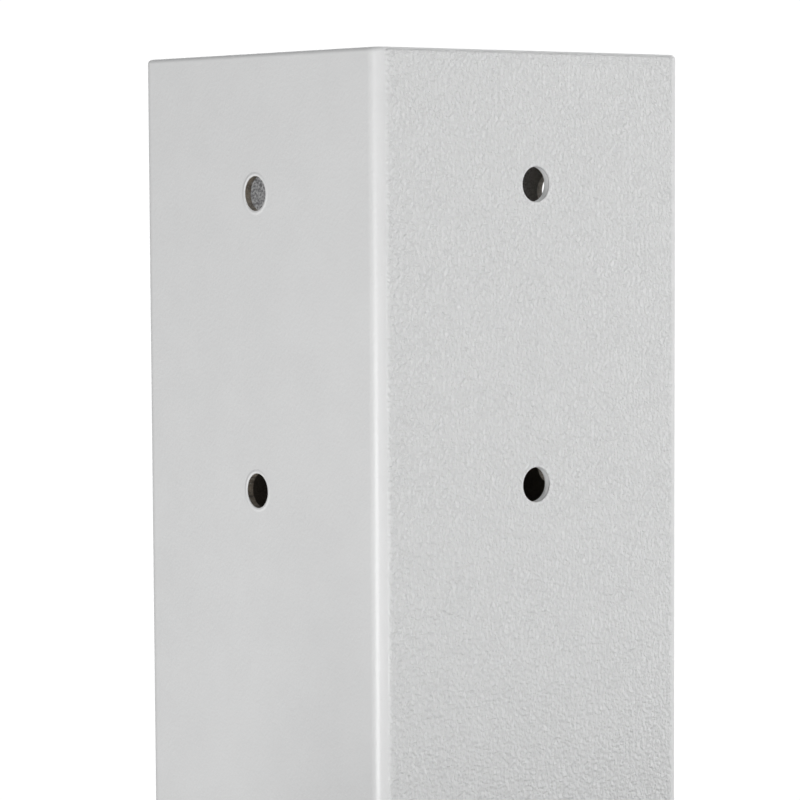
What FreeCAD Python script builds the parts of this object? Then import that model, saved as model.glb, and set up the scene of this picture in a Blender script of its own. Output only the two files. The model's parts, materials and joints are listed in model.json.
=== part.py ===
import FreeCAD, Part
import os
import re
import Sketcher

# A square hollow signpost on a ribbed base plate, with a framed arrow sign on two rails.
# Millimetres. Z is up, the base plate rests on z = 0 and the post's axis is x = y = 0.
# The sign faces -Y, which is the front. -X is the left side and +X the right side.

doc = FreeCAD.newDocument("signpost")

SIZES = {
    # post
    "post_height": 2200,
    "post_width": 100,
    "post_wall": 2,
    "post_corner": 4,
    "hole_clear": 0.7,
    "hole_pitch": 75,
    "front_hole_drop": 33,
    "side_hole_drop": 35,
    # base
    "plate_size": 220,
    "plate_thick": 12,
    "plate_corner": 15,
    "anchor_edge": 30,
    "anchor_dia": 14,
    "drain_dia": 30,
    "base_weld_leg": 5,
    "gusset_high": 95,
    "gusset_margin": 10,
    "gusset_thick": 6,
    "gusset_nose": 14,
    "gusset_snipe": 10,
    "gusset_weld_leg": 4,
    "gusset_weld_inset": 3,
    # sign face
    "panel_wide": 450,
    "panel_high": 450,
    "panel_thick": 3,
    "panel_corner": 40,
    "panel_drop": 230,
    "film_thick": 0.3,
    "graphic_thick": 0.2,
    "border_inset": 22,
    "border_wide": 9,
    "arrow_high": 290,
    "arrow_shaft": 52,
    "arrow_span": 220,
    "arrow_head_high": 122,
    "arrow_barb": 56,
    # edge trim
    "trim_leg": 9,
    "trim_wall": 1.2,
    "trim_joint": 1,
    "joiner_long": 60,
    "joiner_wall": 1,
    "joiner_leg": 8,
    "joiner_rivet_dia": 3.2,
    "joiner_rivet_head": 6,
    "joiner_rivet_dome": 1,
    "joiner_rivet_reach": 15,
    # rails
    "rail_spread": 240,
    "rail_end_gap": 11.5,
    "rail_flange": 52,
    "rail_flange_thick": 2.5,
    "rail_depth": 20,
    "rail_wall": 2.4,
    "rail_lip_thick": 3,
    "captive_clear": 0.3,
    "slot_clear": 0.5,
    "cap_thick": 2.5,
    "cap_plug": 10,
    "cap_clear": 0.2,
    # rivets through panel and rail
    "rivet_dia": 4.8,
    "rivet_sink_dia": 8.4,
    "rivet_tail_dia": 8.4,
    "rivet_tail_dome": 2,
    "rivet_end": 22,
    # fixings through the post
    "bolt_dia": 8,
    "bolt_flats": 13,
    "bolt_head": 5.3,
    "bolt_chamfer": 1,
    "bolt_spare": 5,
    "washer_dia": 24,
    "washer_thick": 2,
    "washer_clear": 0.4,
    "nut_high": 9.5,
    "nut_flats": 13,
    "nut_hex_high": 6.8,
    "insert_high": 1.8,
    "insert_wall": 1,
    "collar_wall": 0.8,
    "pad_margin": 4,
    "pad_high": 36,
    "pad_thick": 2,
    "pad_corner": 4,
}

sheet = doc.addObject("Spreadsheet::Sheet", "sizes")
for row, (alias, value) in enumerate(SIZES.items(), start=1):
    sheet.set("A%d" % row, str(value))
    sheet.setAlias("A%d" % row, alias)
    sheet.set("B%d" % row, alias.replace("_", " "))
doc.recompute()


# ---- expressions and small helpers ----

def bound(text):
    """Point every size name in an expression at the sheet."""
    return re.sub(r"[a-z_]+", lambda m: "sizes." + m.group(0) if m.group(0) in SIZES else m.group(0), text)


def number(text):
    """The present value of an expression, in millimetres or degrees."""
    return float(sheet.evalExpression(bound(text)))


def bind(thing, prop, text):
    """Tie one property of an object to an expression of sizes."""
    thing.setExpression(prop, bound(text))


def place(thing, x="0", y="0", z="0"):
    """Tie an object's position to three expressions."""
    for axis, text in zip("xyz", (x, y, z)):
        bind(thing, "Placement.Base." + axis, text)
    return thing


def new_body(label):
    """An empty body whose label names it."""
    body = doc.addObject("PartDesign::Body", label)
    body.Label = label
    return body


def new_sketch(body, name, plane, lift="0"):
    """A sketch on one of the body's own planes, lifted along the plane's normal."""
    sketch = body.newObject("Sketcher::SketchObject", name)
    base = [item for item in body.Origin.OriginFeatures if item.Role == plane][0]
    sketch.AttachmentSupport = [(base, "")]
    sketch.MapMode = "FlatFace"
    bind(sketch, "AttachmentOffset.Base.z", lift)
    return sketch


def dimension(sketch, kind, items, text):
    """Add one dimension to a sketch and tie it to an expression."""
    index = sketch.addConstraint(Sketcher.Constraint(kind, *items, number(text)))
    bind(sketch, "Constraints[%d]" % index, text)


def polygon(sketch, corners):
    """A closed outline of straight lines, each corner held by its own two dimensions."""
    spots = [FreeCAD.Vector(number(across), number(up), 0) for across, up in corners]
    first = sketch.GeometryCount
    for index, spot in enumerate(spots):
        following = spots[(index + 1) % len(spots)]
        sketch.addGeometry(Part.LineSegment(spot, following), False)
    for index, (across, up) in enumerate(corners):
        line = first + index
        after = first + (index + 1) % len(corners)
        sketch.addConstraint(Sketcher.Constraint("Coincident", line, 2, after, 1))
        dimension(sketch, "DistanceX", (-1, 1, line, 1), across)
        dimension(sketch, "DistanceY", (-1, 1, line, 1), up)


def rectangle(sketch, wide, high, middle_x="0", middle_y="0"):
    """A rectangle given by its size and its middle."""
    left = "%s - (%s) / 2" % (middle_x, wide)
    right = "%s + (%s) / 2" % (middle_x, wide)
    low = "%s - (%s) / 2" % (middle_y, high)
    top = "%s + (%s) / 2" % (middle_y, high)
    polygon(sketch, [(left, low), (right, low), (right, top), (left, top)])


def circle(sketch, diameter, across, up):
    """A circle given by its diameter and its middle."""
    middle = FreeCAD.Vector(number(across), number(up), 0)
    shape = Part.Circle(middle, FreeCAD.Vector(0, 0, 1), number(diameter) / 2)
    index = sketch.addGeometry(shape, False)
    dimension(sketch, "Diameter", (index,), diameter)
    dimension(sketch, "DistanceX", (-1, 1, index, 3), across)
    dimension(sketch, "DistanceY", (-1, 1, index, 3), up)


def pad(body, sketch, length, backwards=False):
    """Pad a sketch by a length along its normal, or against it."""
    feature = body.newObject("PartDesign::Pad", sketch.Name + "_pad")
    feature.Profile = sketch
    feature.Reversed = backwards
    bind(feature, "Length", length)
    doc.recompute()
    return feature


def pocket_through(body, sketch):
    """Cut a sketch through everything on both sides of it, and make sure that it cut."""
    before = body.Shape.Volume
    feature = body.newObject("PartDesign::Pocket", sketch.Name + "_cut")
    feature.Profile = sketch
    feature.Type = "ThroughAll"
    feature.SideType = "Symmetric"
    doc.recompute()
    if not feature.Shape.Volume < before:
        raise RuntimeError(sketch.Name + " cuts nothing")
    return feature


def edges_along(shape, direction, inside=None):
    """Names of the straight edges along a direction, where asked only those inside a box."""
    names = []
    for index, edge in enumerate(shape.Edges, start=1):
        if edge.Curve.TypeId != "Part::GeomLine":
            continue
        if abs(edge.tangentAt(edge.FirstParameter).dot(direction)) < 0.999:
            continue
        middle = edge.CenterOfMass
        if inside is None or (abs(middle.x) < inside and abs(middle.y) < inside):
            names.append("Edge%d" % index)
    return names


def fillet(body, base, names, radius):
    """Round the named edges of a feature."""
    feature = body.newObject("PartDesign::Fillet", base.Name + "_round")
    feature.Base = (base, names)
    feature.Radius = number(radius)
    bind(feature, "Radius", radius)
    doc.recompute()
    return feature


def revolve(body, sketch, axis):
    """Turn a half profile all the way round one of the body's own axes."""
    feature = body.newObject("PartDesign::Revolution", sketch.Name + "_turn")
    feature.Profile = sketch
    line = [item for item in body.Origin.OriginFeatures if item.Role == axis][0]
    feature.ReferenceAxis = (line, [""])
    feature.Angle = 360
    doc.recompute()
    return feature


def boolean(kind, label, base, tool):
    """Part::Cut or Part::Common of two objects, under a label of its own."""
    result = doc.addObject("Part::" + kind, label)
    result.Label = label
    result.Base = base
    result.Tool = tool
    doc.recompute()
    return result


def group(label, pieces):
    """Separate solids that share one node."""
    result = doc.addObject("Part::Compound", label)
    result.Label = label
    result.Links = pieces
    doc.recompute()
    return result


def copy_of(source, label, x="0", y="0", z="0"):
    """A linked copy at a position tied to sizes."""
    link = doc.addObject("App::Link", label)
    link.LinkedObject = source
    link.LinkPlacement = FreeCAD.Placement()
    for axis, text in zip("xyz", (x, y, z)):
        bind(link, "LinkPlacement.Base." + axis, text)
    return link


def turned_copy(source, label, angle):
    """A linked copy turned about the post's axis."""
    link = doc.addObject("App::Link", label)
    link.LinkedObject = source
    link.LinkPlacement = FreeCAD.Placement(FreeCAD.Vector(), FreeCAD.Rotation(FreeCAD.Vector(0, 0, 1), angle))
    return link


def settled(link, label):
    """A link's solid as an object of its own, for a node that holds just that copy."""
    return group(label, [link])


ALONG_Y = FreeCAD.Vector(0, 1, 0)
ALONG_Z = FreeCAD.Vector(0, 0, 1)

# ---- places that several pieces share, as expressions ----
# Depths are measured forwards from the post's axis, towards the sign.

PANEL_MIDDLE = "(post_height - panel_drop - panel_high / 2)"
RAIL_HEIGHTS = {
    "upper": "(post_height - panel_drop - panel_high / 2 + rail_spread / 2)",
    "lower": "(post_height - panel_drop - panel_high / 2 - rail_spread / 2)",
}
POST_FACE = "(post_width / 2)"
HOLE_DIA = "(bolt_dia + hole_clear)"
ANCHOR_HALF = "(plate_size / 2 - anchor_edge)"
GUSSET_FOOT = "(plate_size / 2 - gusset_margin - post_width / 2)"
RAIL_LONG = "(panel_wide - 2 * (trim_leg + rail_end_gap + cap_thick))"
RAIL_BACK = "(post_width / 2 + pad_thick)"
RAIL_FRONT = "(post_width / 2 + pad_thick + rail_depth)"
PANEL_FRONT = "(post_width / 2 + pad_thick + rail_depth + panel_thick)"
FILM_FRONT = "(post_width / 2 + pad_thick + rail_depth + panel_thick + film_thick)"
LIP_FRONT = "(post_width / 2 + pad_thick + rail_lip_thick)"
CAPTIVE_HALF = "(bolt_flats / 2 + captive_clear)"
SLOT_HALF = "(bolt_dia / 2 + slot_clear)"
CHANNEL_HALF = "(bolt_flats / 2 + captive_clear + rail_wall)"
RIVET_ROW = "((bolt_flats / 2 + captive_clear + rail_wall + rail_flange / 2) / 2)"


def upright_plate(label, wide, high, corner, front_of, thick, middle_z=PANEL_MIDDLE):
    """A plate that stands across the front, its back at the depth front_of, with rounded corners."""
    body = new_body(label)
    sketch = new_sketch(body, label + "_outline", "XZ_Plane", front_of)
    rectangle(sketch, wide, high, middle_y=middle_z)
    solid = pad(body, sketch, thick)
    fillet(body, solid, edges_along(solid.Shape, ALONG_Y), corner)
    return body


# ---- post ----

def make_post():
    """The square tube, with a hole pair high in every wall and the sign's holes below."""
    body = new_body("post_tube")
    outline = new_sketch(body, "post_outline", "XY_Plane", "plate_thick")
    rectangle(outline, "post_width", "post_width")
    solid = pad(body, outline, "post_height - plate_thick")
    fillet(body, solid, edges_along(solid.Shape, ALONG_Z), "post_corner")
    hollow = new_sketch(body, "post_hollow", "XY_Plane", "plate_thick")
    rectangle(hollow, "post_width - 2 * post_wall", "post_width - 2 * post_wall")
    bored = pocket_through(body, hollow)
    inner = edges_along(bored.Shape, ALONG_Z, inside=number("post_width / 2 - post_wall / 2"))
    inner = [name for name in inner if is_hollow_corner(bored.Shape.getElement(name))]
    fillet(body, bored, inner, "max(post_corner - post_wall; 0.5)")
    front = new_sketch(body, "front_holes", "XZ_Plane")
    circle(front, HOLE_DIA, "0", "post_height - front_hole_drop")
    circle(front, HOLE_DIA, "0", "post_height - front_hole_drop - hole_pitch")
    for height in RAIL_HEIGHTS.values():
        circle(front, HOLE_DIA, "0", height)
    pocket_through(body, front)
    side = new_sketch(body, "side_holes", "YZ_Plane")
    circle(side, HOLE_DIA, "0", "post_height - side_hole_drop")
    circle(side, HOLE_DIA, "0", "post_height - side_hole_drop - hole_pitch")
    pocket_through(body, side)
    return body


def is_hollow_corner(edge):
    """True for an edge at a corner of the square hollow."""
    half = number("post_width / 2 - post_wall")
    middle = edge.CenterOfMass
    return abs(abs(middle.x) - half) < 0.01 and abs(abs(middle.y) - half) < 0.01


# ---- base ----

def make_base_plate():
    """The ground plate with anchor holes at its corners and a drain under the tube."""
    body = new_body("base_plate")
    outline = new_sketch(body, "base_outline", "XY_Plane")
    rectangle(outline, "plate_size", "plate_size")
    solid = pad(body, outline, "plate_thick")
    fillet(body, solid, edges_along(solid.Shape, ALONG_Z), "plate_corner")
    holes = new_sketch(body, "base_holes", "XY_Plane")
    circle(holes, "drain_dia", "0", "0")
    for across in ("-" + ANCHOR_HALF, ANCHOR_HALF):
        for up in ("-" + ANCHOR_HALF, ANCHOR_HALF):
            circle(holes, "anchor_dia", across, up)
    pocket_through(body, holes)
    return body


def make_gusset(label):
    """One rib in front of the post: a blunt triangle with its inner corner cut off for the weld."""
    body = new_body(label)
    side = new_sketch(body, label + "_side", "YZ_Plane")
    face = "-post_width / 2"
    toe = "-plate_size / 2 + gusset_margin"
    top = "plate_thick + gusset_high"
    polygon(side, [
        (face, top),
        (face + " - gusset_nose", top),
        (toe, "plate_thick + gusset_nose"),
        (toe, "plate_thick"),
        (face + " - gusset_snipe", "plate_thick"),
        (face, "plate_thick + gusset_snipe"),
    ])
    solid = body.newObject("PartDesign::Pad", label + "_pad")
    solid.Profile = side
    solid.SideType = "Symmetric"
    bind(solid, "Length", "gusset_thick")
    doc.recompute()
    return body


def make_base_weld():
    """The fillet bead round the foot of the post, a bevelled ring on the plate."""
    ring = new_body("weld_ring")
    outline = new_sketch(ring, "weld_outline", "XY_Plane", "plate_thick")
    rectangle(outline, "post_width + 2 * base_weld_leg", "post_width + 2 * base_weld_leg")
    solid = pad(ring, outline, "base_weld_leg")
    rounded = fillet(ring, solid, edges_along(solid.Shape, ALONG_Z), "post_corner + base_weld_leg")
    top = top_edges(rounded.Shape, number("plate_thick + base_weld_leg"))
    slope = ring.newObject("PartDesign::Chamfer", "weld_slope")
    slope.Base = (rounded, top)
    slope.Size = number("base_weld_leg") * 0.98
    bind(slope, "Size", "base_weld_leg * 0.98")
    doc.recompute()
    core = new_body("weld_core")
    square = new_sketch(core, "weld_core_outline", "XY_Plane", "plate_thick")
    rectangle(square, "post_width", "post_width")
    block = pad(core, square, "2 * base_weld_leg")
    fillet(core, block, edges_along(block.Shape, ALONG_Z), "post_corner")
    return boolean("Cut", "base_weld", ring, core)


def top_edges(shape, height):
    """Names of the edges that lie flat at one height."""
    names = []
    for index, edge in enumerate(shape.Edges, start=1):
        box = edge.BoundBox
        if abs(box.ZMin - height) < 0.001 and abs(box.ZMax - height) < 0.001:
            names.append("Edge%d" % index)
    return names


def bead(label, corners, plane, lift, length):
    """A straight fillet bead: a triangle swept along a straight line."""
    body = new_body(label)
    sketch = new_sketch(body, label + "_section", plane, lift)
    polygon(sketch, corners)
    pad(body, sketch, length)
    return body


def make_gusset_welds():
    """Upright and foot beads on both sides of every rib, as separate solids in one node."""
    face = "post_width / 2"
    upright = []
    foot = []
    for side, sign in (("left", "-"), ("right", "")):
        root = sign + "(gusset_thick / 2)"
        wide = sign + "(gusset_thick / 2 + gusset_weld_leg)"
        upright.append(bead(
            "upright_bead_" + side,
            [(root, "-" + face), (wide, "-" + face), (root, "-" + face + " - gusset_weld_leg")],
            "XY_Plane",
            "plate_thick + gusset_snipe + gusset_weld_inset",
            "gusset_high - gusset_snipe - 2 * gusset_weld_inset",
        ))
        foot.append(bead(
            "foot_bead_" + side,
            [(root, "plate_thick"), (wide, "plate_thick"), (root, "plate_thick + gusset_weld_leg")],
            "XZ_Plane",
            face + " + gusset_snipe + gusset_weld_inset",
            GUSSET_FOOT + " - gusset_snipe - 2 * gusset_weld_inset",
        ))
    front = upright + foot
    beads = list(front)
    for turn, angle in (("right", 90), ("back", 180), ("left", 270)):
        for piece in front:
            beads.append(turned_copy(piece, "%s_on_%s" % (piece.Name, turn), angle))
    return group("gusset_welds", beads)


# ---- sign panel and its films ----

def make_panel():
    """The aluminium sheet, countersunk from the front for the rail rivets."""
    blank = upright_plate(
        "panel_blank", "panel_wide", "panel_high", "panel_corner", RAIL_FRONT, "panel_thick")
    rivets = rail_rivet_copies("sink", RIVET_BLANK) + joiner_rivet_copies("bore", JOINER_BLANK)
    return boolean("Cut", "sign_panel", blank, group("panel_sinks", rivets))


def make_face_film():
    """The coloured sheeting over the whole front of the panel, pierced only by the joiner rivets."""
    sheeting = upright_plate(
        "film_blank", "panel_wide", "panel_high", "panel_corner", PANEL_FRONT, "film_thick")
    bores = group("film_bores", joiner_rivet_copies("film_bore", JOINER_BLANK))
    return boolean("Cut", "face_film", sheeting, bores)


def make_border_film():
    """A white line that follows the sign's outline."""
    outer_side = "panel_%s - 2 * border_inset"
    inner_side = "panel_%s - 2 * border_inset - 2 * border_wide"
    outer = upright_plate(
        "border_outer", outer_side % "wide", outer_side % "high",
        "max(panel_corner - border_inset; 2)", FILM_FRONT, "graphic_thick")
    inner = upright_plate(
        "border_inner", inner_side % "wide", inner_side % "high",
        "max(panel_corner - border_inset - border_wide; 1)", FILM_FRONT, "graphic_thick")
    return boolean("Cut", "border_film", outer, inner)


def make_arrow_film():
    """A plain straight-ahead arrow with a barbed head, centred in the border."""
    body = new_body("arrow_film")
    sketch = new_sketch(body, "arrow_outline", "XZ_Plane", FILM_FRONT)
    tip = PANEL_MIDDLE + " + arrow_high / 2"
    wing = PANEL_MIDDLE + " + arrow_high / 2 - arrow_head_high"
    barb = wing + " - arrow_barb"
    root = wing + " + arrow_barb * (arrow_span / 2 - arrow_shaft / 2) / (arrow_span / 2) - arrow_barb / 2"
    tail = PANEL_MIDDLE + " - arrow_high / 2"
    half = "arrow_shaft / 2"
    polygon(sketch, [
        ("0", tip),
        ("arrow_span / 2", wing),
        ("arrow_span / 2", barb),
        (half, root),
        (half, tail),
        ("-" + half, tail),
        ("-" + half, root),
        ("-arrow_span / 2", barb),
        ("-arrow_span / 2", wing),
    ])
    pad(body, sketch, "graphic_thick")
    return body


# ---- edge trim ----

TRIM_BACK = "(post_width / 2 + pad_thick + rail_depth - trim_wall)"
TRIM_DEEP = "(panel_thick + film_thick + 2 * trim_wall)"


def make_edge_trim():
    """A U section bent round the panel's edge, its two ends meeting at the bottom."""
    outer = upright_plate(
        "trim_outer", "panel_wide + 2 * trim_wall", "panel_high + 2 * trim_wall",
        "panel_corner + trim_wall", TRIM_BACK, TRIM_DEEP)
    groove = upright_plate(
        "trim_groove", "panel_wide", "panel_high", "panel_corner", RAIL_FRONT, "panel_thick + film_thick")
    sight = upright_plate(
        "trim_sight", "panel_wide - 2 * trim_leg", "panel_high - 2 * trim_leg",
        "max(panel_corner - trim_leg; 1)", TRIM_BACK, TRIM_DEEP)
    hollow = boolean("Cut", "trim_ring", outer, groove)
    ring = boolean("Cut", "trim_open", hollow, sight)
    joint = doc.addObject("Part::Box", "trim_joint_gap")
    bind(joint, "Length", "trim_joint")
    bind(joint, "Width", "2 * " + TRIM_DEEP)
    bind(joint, "Height", "panel_high / 4")
    in_front = "-%s - 1.5 * %s" % (TRIM_BACK, TRIM_DEEP)
    place(joint, "-trim_joint / 2", in_front, PANEL_MIDDLE + " - 5 * panel_high / 8")
    split = boolean("Cut", "trim_split", ring, joint)
    bores = group("trim_bores", joiner_rivet_copies("trim_bore", JOINER_BLANK))
    return boolean("Cut", "edge_trim", split, bores)


def make_trim_joiner():
    """A U clip pushed over the trim's joint from below."""
    body = new_body("joiner_block")
    section = new_sketch(body, "joiner_section", "YZ_Plane")
    bottom = PANEL_MIDDLE + " - panel_high / 2 - trim_wall"
    back = "-(%s)" % TRIM_BACK
    front = "-(%s) - %s" % (TRIM_BACK, TRIM_DEEP)
    polygon(section, [
        (back + " + joiner_wall", bottom + " - joiner_wall"),
        (front + " - joiner_wall", bottom + " - joiner_wall"),
        (front + " - joiner_wall", bottom + " + joiner_leg"),
        (front, bottom + " + joiner_leg"),
        (front, bottom),
        (back, bottom),
        (back, bottom + " + joiner_leg"),
        (back + " + joiner_wall", bottom + " + joiner_leg"),
    ])
    solid = body.newObject("PartDesign::Pad", "joiner_pad")
    solid.Profile = section
    solid.SideType = "Symmetric"
    bind(solid, "Length", "joiner_long")
    doc.recompute()
    bores = group("joiner_bores", joiner_rivet_copies("joiner_bore", JOINER_BLANK))
    return boolean("Cut", "trim_joiner", body, bores)


def make_joiner_rivet_solid():
    """A small rivet along Y through clip, trim, film and panel, with a dome at each end."""
    body = new_body("joiner_rivet")
    sketch = new_sketch(body, "joiner_rivet_half", "XY_Plane")
    back = "-(%s) + joiner_wall" % TRIM_BACK
    front = "-(%s) - %s - joiner_wall" % (TRIM_BACK, TRIM_DEEP)
    polygon(sketch, [
        ("0", back + " + joiner_rivet_dome"),
        ("joiner_rivet_head / 4", back + " + joiner_rivet_dome"),
        ("joiner_rivet_head / 2", back + " + joiner_rivet_dome / 3"),
        ("joiner_rivet_head / 2", back),
        ("joiner_rivet_dia / 2", back),
        ("joiner_rivet_dia / 2", front),
        ("joiner_rivet_head / 2", front),
        ("joiner_rivet_head / 2", front + " - joiner_rivet_dome / 3"),
        ("joiner_rivet_head / 4", front + " - joiner_rivet_dome"),
        ("0", front + " - joiner_rivet_dome"),
    ])
    revolve(body, sketch, "Y_Axis")
    return body


def joiner_rivet_copies(prefix, source):
    """The two places of the joiner rivets, one each side of the joint."""
    height = PANEL_MIDDLE + " - panel_high / 2 - trim_wall + joiner_leg / 2"
    copies = []
    for side, sign in (("left", "-"), ("right", "")):
        copies.append(copy_of(source, "%s_%s" % (prefix, side), x=sign + "joiner_rivet_reach", z=height))
    return copies


# ---- rails ----

def make_rail_rivet_solid():
    """A countersunk rivet along Y: head flush with the panel's front, tail domed on the flange."""
    body = new_body("rail_rivet")
    sketch = new_sketch(body, "rail_rivet_half", "XY_Plane")
    front = "-" + PANEL_FRONT
    flange_back = "-" + RAIL_FRONT + " + rail_flange_thick"
    sink = "(rivet_sink_dia - rivet_dia) / 2"
    polygon(sketch, [
        ("0", front),
        ("rivet_sink_dia / 2", front),
        ("rivet_dia / 2", front + " + " + sink),
        ("rivet_dia / 2", flange_back),
        ("rivet_tail_dia / 2", flange_back),
        ("rivet_tail_dia / 2", flange_back + " + rivet_tail_dome / 3"),
        ("rivet_tail_dia / 4", flange_back + " + rivet_tail_dome"),
        ("0", flange_back + " + rivet_tail_dome"),
    ])
    revolve(body, sketch, "Y_Axis")
    return body


def rail_rivet_places(level):
    """Positions of one rail's rivets: four along the rail, above and below its channel."""
    places = []
    for row, sign in (("top", " + "), ("bottom", " - ")):
        for step in range(4):
            across = "(%s - 2 * rivet_end) * %g / 6" % (RAIL_LONG, 2 * step - 3)
            height = RAIL_HEIGHTS[level] + sign + RIVET_ROW
            places.append(("%s_%s_%d" % (level, row, step + 1), across, height))
    return places


def rail_rivet_copies(prefix, source, levels=("upper", "lower")):
    """Linked copies of a rivet-shaped solid at the rivets' places."""
    copies = []
    for level in levels:
        for name, across, height in rail_rivet_places(level):
            copies.append(copy_of(source, "%s_%s" % (prefix, name), x=across, z=height))
    return copies


def make_rail(level):
    """A hat-section rail: a flange on the panel and a lipped channel that traps the bolt's head."""
    height = RAIL_HEIGHTS[level]
    body = new_body(level + "_rail_blank")
    section = new_sketch(body, level + "_rail_section", "YZ_Plane")
    face = "-" + RAIL_FRONT
    back = "-" + RAIL_BACK
    step = face + " + rail_flange_thick"
    lip = "-" + LIP_FRONT
    high = height + " + rail_flange / 2"
    low = height + " - rail_flange / 2"
    polygon(section, [
        (face, low),
        (face, high),
        (step, high),
        (step, height + " + " + CHANNEL_HALF),
        (back, height + " + " + CHANNEL_HALF),
        (back, height + " + " + SLOT_HALF),
        (lip, height + " + " + SLOT_HALF),
        (lip, height + " + " + CAPTIVE_HALF),
        (step, height + " + " + CAPTIVE_HALF),
        (step, height + " - " + CAPTIVE_HALF),
        (lip, height + " - " + CAPTIVE_HALF),
        (lip, height + " - " + SLOT_HALF),
        (back, height + " - " + SLOT_HALF),
        (back, height + " - " + CHANNEL_HALF),
        (step, height + " - " + CHANNEL_HALF),
        (step, low),
    ])
    solid = body.newObject("PartDesign::Pad", level + "_rail_pad")
    solid.Profile = section
    solid.SideType = "Symmetric"
    bind(solid, "Length", RAIL_LONG)
    doc.recompute()
    bores = group(level + "_rail_bores", rail_rivet_copies(level + "_bore", RIVET_BLANK, (level,)))
    return boolean("Cut", level + "_rail", body, bores)


def make_rail_cap(level, side):
    """A plastic end cap: a plate over the channel's end with a plug inside it."""
    sign = {"left": "-", "right": ""}[side]
    label = "%s_rail_cap_%s" % (level, side)
    height = RAIL_HEIGHTS[level]
    body = new_body(label)
    plate = new_sketch(body, label + "_plate", "YZ_Plane", sign + RAIL_LONG + " / 2")
    depth = "(rail_depth - rail_flange_thick)"
    middle = "-" + RAIL_BACK + " - " + depth + " / 2"
    rectangle(plate, depth, "2 * " + CHANNEL_HALF, middle, height)
    pad(body, plate, "cap_thick", backwards=side == "left")
    plug = new_sketch(body, label + "_plug", "YZ_Plane", sign + RAIL_LONG + " / 2")
    plug_depth = "(rail_depth - rail_flange_thick - rail_lip_thick - 2 * cap_clear)"
    plug_middle = "-" + LIP_FRONT + " - cap_clear - " + plug_depth + " / 2"
    rectangle(plug, plug_depth, "2 * (%s - cap_clear)" % CAPTIVE_HALF, plug_middle, height)
    pad(body, plug, "cap_plug", backwards=side == "right")
    return body


# ---- fixings through the post ----

BOLT_SEAT = LIP_FRONT
NUT_SEAT = "(post_width / 2 + washer_thick)"
INSERT_SEAT = "(post_width / 2 + washer_thick + nut_high - insert_high)"
INSERT_DIA = "(bolt_dia + 2 * insert_wall)"


def hexagon(name, flats, high, base):
    """A six-sided prism along +Y whose flats lie above and below, starting at a depth behind the axis."""
    prism = doc.addObject("Part::Prism", name)
    prism.Polygon = 6
    bind(prism, "Circumradius", "(%s) / (2 * cos(30))" % flats)
    bind(prism, "Height", high)
    prism.Placement.Rotation = FreeCAD.Rotation(FreeCAD.Vector(1, 0, 0), -90)
    bind(prism, "Placement.Base.y", base)
    return prism


def rod(name, diameter, long, base):
    """A cylinder along +Y that starts at a depth behind the axis."""
    cylinder = doc.addObject("Part::Cylinder", name)
    bind(cylinder, "Radius", "(%s) / 2" % diameter)
    bind(cylinder, "Height", long)
    cylinder.Placement.Rotation = FreeCAD.Rotation(FreeCAD.Vector(1, 0, 0), -90)
    bind(cylinder, "Placement.Base.y", base)
    return cylinder


def tapered_end(name, diameter, chamfer, base):
    """A short cone along +Y that ends a bolt."""
    cone = doc.addObject("Part::Cone", name)
    bind(cone, "Radius1", "(%s) / 2" % diameter)
    bind(cone, "Radius2", "(%s) / 2 - %s" % (diameter, chamfer))
    bind(cone, "Height", chamfer)
    cone.Placement.Rotation = FreeCAD.Rotation(FreeCAD.Vector(1, 0, 0), -90)
    bind(cone, "Placement.Base.y", base)
    return cone


def make_bolt():
    """A hexagon bolt from the rail's lips right through the post, standing proud of its nut."""
    taper_start = NUT_SEAT + " + nut_high + bolt_spare - bolt_chamfer"
    head = hexagon("bolt_head_prism", "bolt_flats", "bolt_head", "-" + BOLT_SEAT + " - bolt_head")
    shank = rod("bolt_shank", "bolt_dia", BOLT_SEAT + " + " + taper_start, "-" + BOLT_SEAT)
    end = tapered_end("bolt_end", "bolt_dia", "bolt_chamfer", taper_start)
    bolt = doc.addObject("Part::MultiFuse", "bolt")
    bolt.Shapes = [head, shank, end]
    bolt.Refine = True
    doc.recompute()
    return bolt


def make_washer():
    """A wide flat washer behind the post."""
    disc = rod("washer_disc", "washer_dia", "washer_thick", POST_FACE)
    bore = rod("washer_hole", "bolt_dia + washer_clear", "3 * washer_thick", POST_FACE + " - washer_thick")
    return boolean("Cut", "washer", disc, bore)


def make_lock_nut():
    """A hexagon nut with a round collar that holds the nylon ring."""
    prism = hexagon("nut_prism", "nut_flats", "nut_hex_high", NUT_SEAT)
    collar = rod("nut_collar", INSERT_DIA + " + 2 * collar_wall", "nut_high", NUT_SEAT)
    outside = doc.addObject("Part::MultiFuse", "nut_outside")
    outside.Shapes = [prism, collar]
    thread = rod("nut_thread", "bolt_dia", "3 * nut_high", NUT_SEAT + " - nut_high")
    recess = rod("nut_recess", INSERT_DIA, "2 * insert_high", INSERT_SEAT)
    doc.recompute()
    threaded = boolean("Cut", "nut_threaded", outside, thread)
    return boolean("Cut", "lock_nut", threaded, recess)


def make_nut_insert():
    """The nylon ring, flush in the nut's collar and tight on the bolt."""
    ring = rod("insert_ring", INSERT_DIA, "insert_high", INSERT_SEAT)
    bore = rod("insert_hole", "bolt_dia", "3 * nut_high", NUT_SEAT + " - nut_high")
    return boolean("Cut", "nut_insert", ring, bore)


def make_post_pad():
    """The rubber pad that keeps the rail off the post's coating, holed for the bolt."""
    wide = "post_width - 2 * post_corner - 2 * pad_margin"
    blank = upright_plate("pad_blank", wide, "pad_high", "pad_corner", POST_FACE, "pad_thick", "0")
    hole = rod("pad_hole", HOLE_DIA, "3 * pad_thick", "-" + POST_FACE + " - 2 * pad_thick")
    return boolean("Cut", "post_pad", blank, hole)


# ---- the parts, in the order in which they are put together ----

RIVET_BLANK = make_rail_rivet_solid()
JOINER_BLANK = make_joiner_rivet_solid()

parts = [make_post(), make_base_plate()]

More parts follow.
